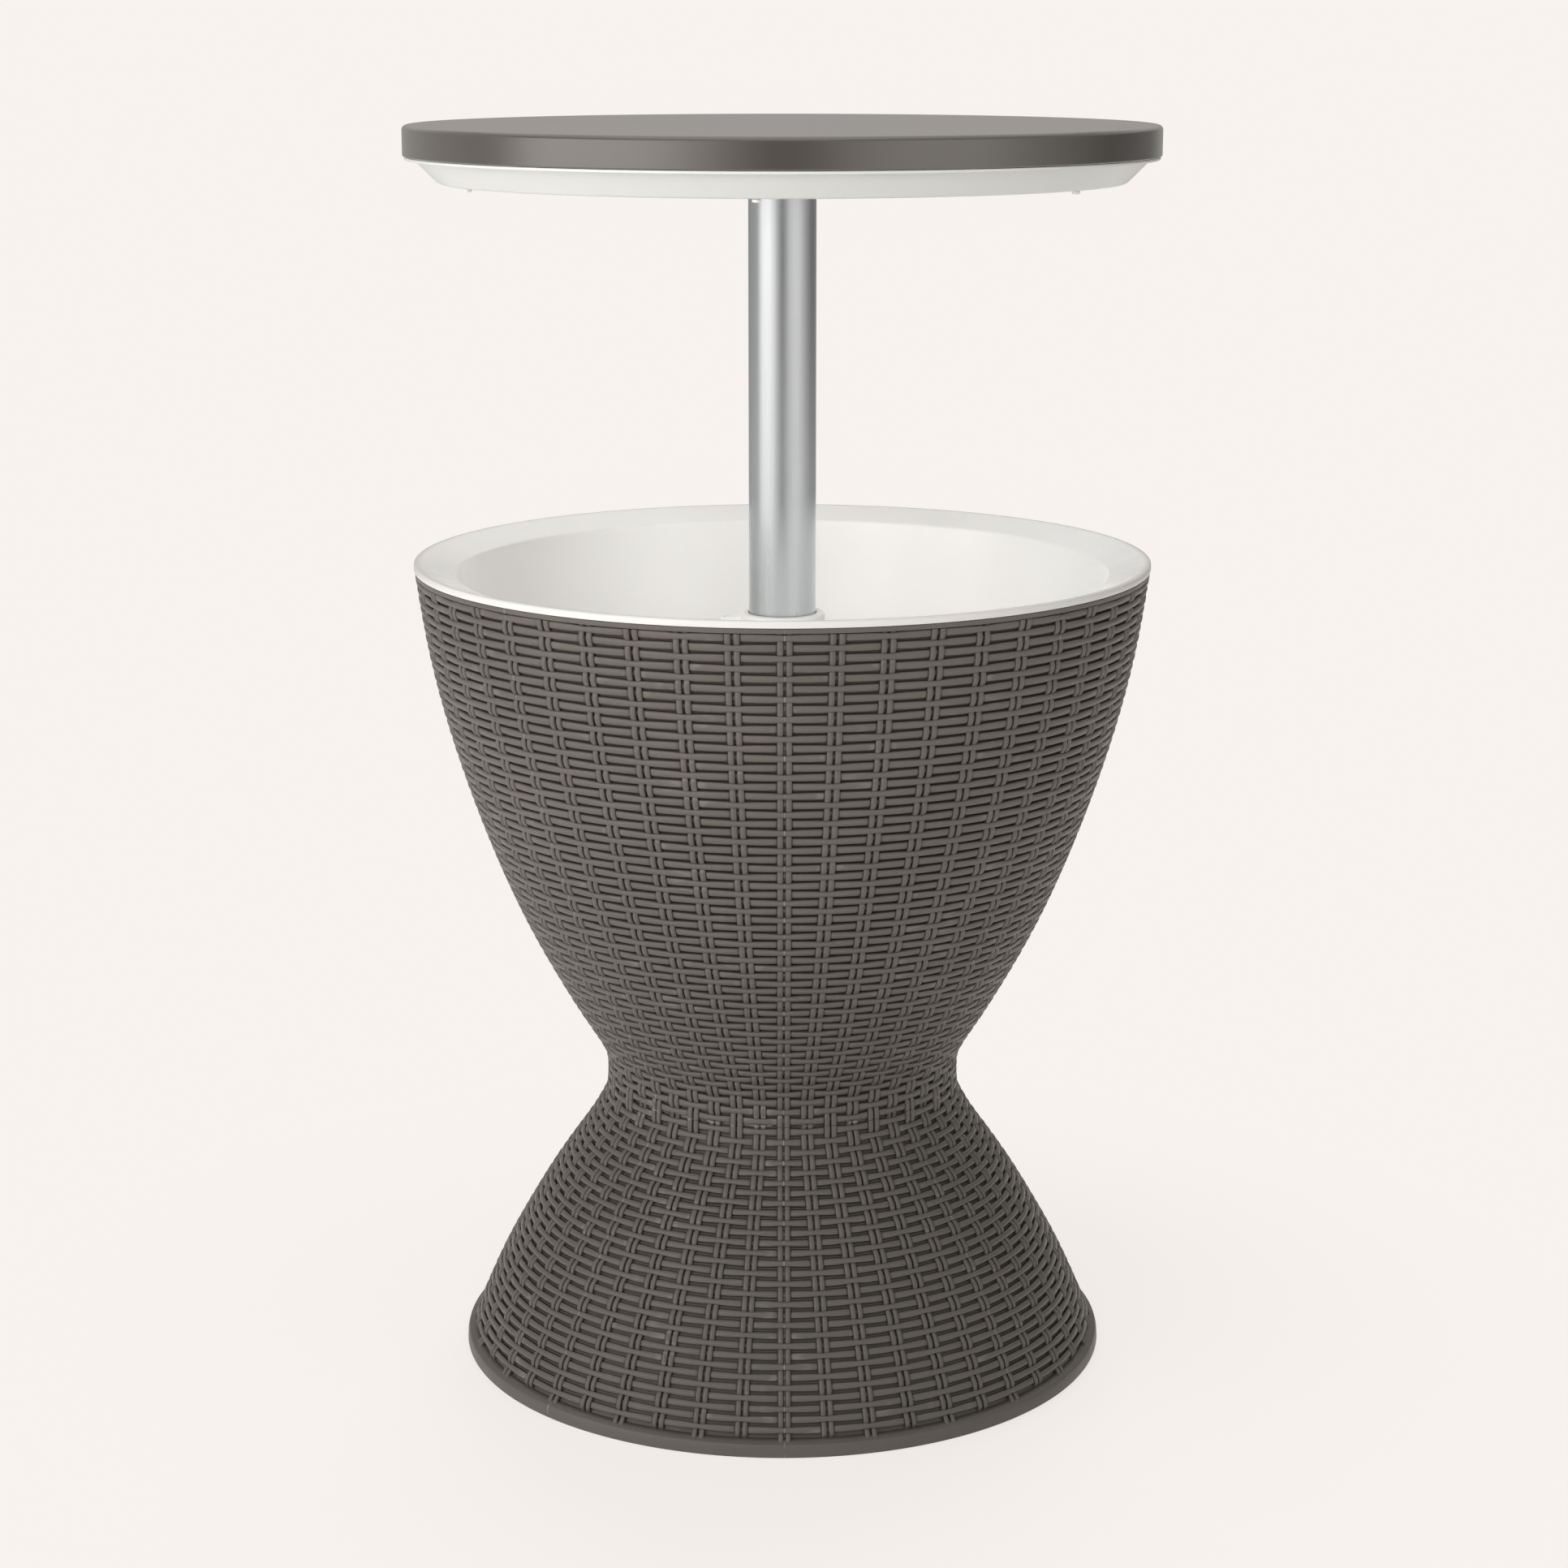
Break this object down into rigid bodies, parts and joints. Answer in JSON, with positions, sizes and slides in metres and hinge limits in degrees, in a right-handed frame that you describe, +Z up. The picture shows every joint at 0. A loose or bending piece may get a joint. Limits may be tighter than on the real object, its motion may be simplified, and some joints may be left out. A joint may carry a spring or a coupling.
{
  "type": "ice bucket coffee table",
  "caption": "Round hourglass resin table with an ice bucket under a top that lifts on a centre pole; twist collar holds it; drain plug in the bucket floor.",
  "frame": {"origin": "centre of the foot ring on the floor, below the middle of the bounding box", "axes": "+Z up along the pole, -Y towards the picture's front, +X to its right"},
  "size_m": [0.495, 0.495, 0.838],
  "materials": {
    "wicker_resin": "satin moulded wicker weave in grey taupe resin",
    "top_grey": "fine satin grain, grey taupe resin",
    "bucket_white": "smooth glossy white resin",
    "bush_white": "smooth white nylon",
    "pole_aluminium": "satin anodised, drawn lengthways",
    "screw_steel": "bright zinc",
    "plug_grey": "satin grey resin",
    "seal_rubber": "black rubber"
  },
  "bodies": {
    "stand": {"base_shell": "wicker_resin", "bucket_shell": "wicker_resin", "bucket_liner": "bucket_white", "guide_bush": "bush_white", "joint_screw_1": "screw_steel", "joint_screw_2": "screw_steel", "joint_screw_3": "screw_steel", "joint_screw_4": "screw_steel"},
    "collar": {"lock_collar": "bush_white"},
    "glide": {"glide_sleeve": "bush_white"},
    "table_top": {"pole_tube": "pole_aluminium", "end_plug": "bush_white", "end_plug_rivet": "screw_steel", "top_hub": "bush_white", "pole_pin": "screw_steel", "top_plate": "top_grey", "top_tray": "bucket_white", "hub_screw_1": "screw_steel", "hub_screw_2": "screw_steel", "hub_screw_3": "screw_steel", "hub_screw_4": "screw_steel", "tray_screw_1": "screw_steel", "tray_screw_2": "screw_steel", "tray_screw_3": "screw_steel", "tray_screw_4": "screw_steel", "tray_screw_5": "screw_steel", "tray_screw_6": "screw_steel", "rest_pad_1": "bush_white", "rest_pad_2": "bush_white", "rest_pad_3": "bush_white", "rest_pad_4": "bush_white", "rest_pad_5": "bush_white", "rest_pad_6": "bush_white"},
    "drain": {"drain_plug": "plug_grey", "drain_seal": "seal_rubber"}
  },
  "joints": [
    {"name": "top_lift", "type": "slide", "parent": "stand", "child": "glide", "axis": [0, 0, 1], "range_m": [-0.2525, 0]},
    {"name": "top_turn", "type": "hinge", "parent": "glide", "child": "table_top", "pos_m": [0, 0, 0.43], "axis": [0, 0, 1], "continuous": true},
    {"name": "collar_twist", "type": "hinge", "parent": "stand", "child": "collar", "pos_m": [0, 0, 0.5], "axis": [0, 0, 1], "range_deg": [-60, 0]},
    {"name": "drain_pull", "type": "slide", "parent": "stand", "child": "drain", "axis": [0, 0, 1], "range_m": [0, 0.05]}
  ]
}
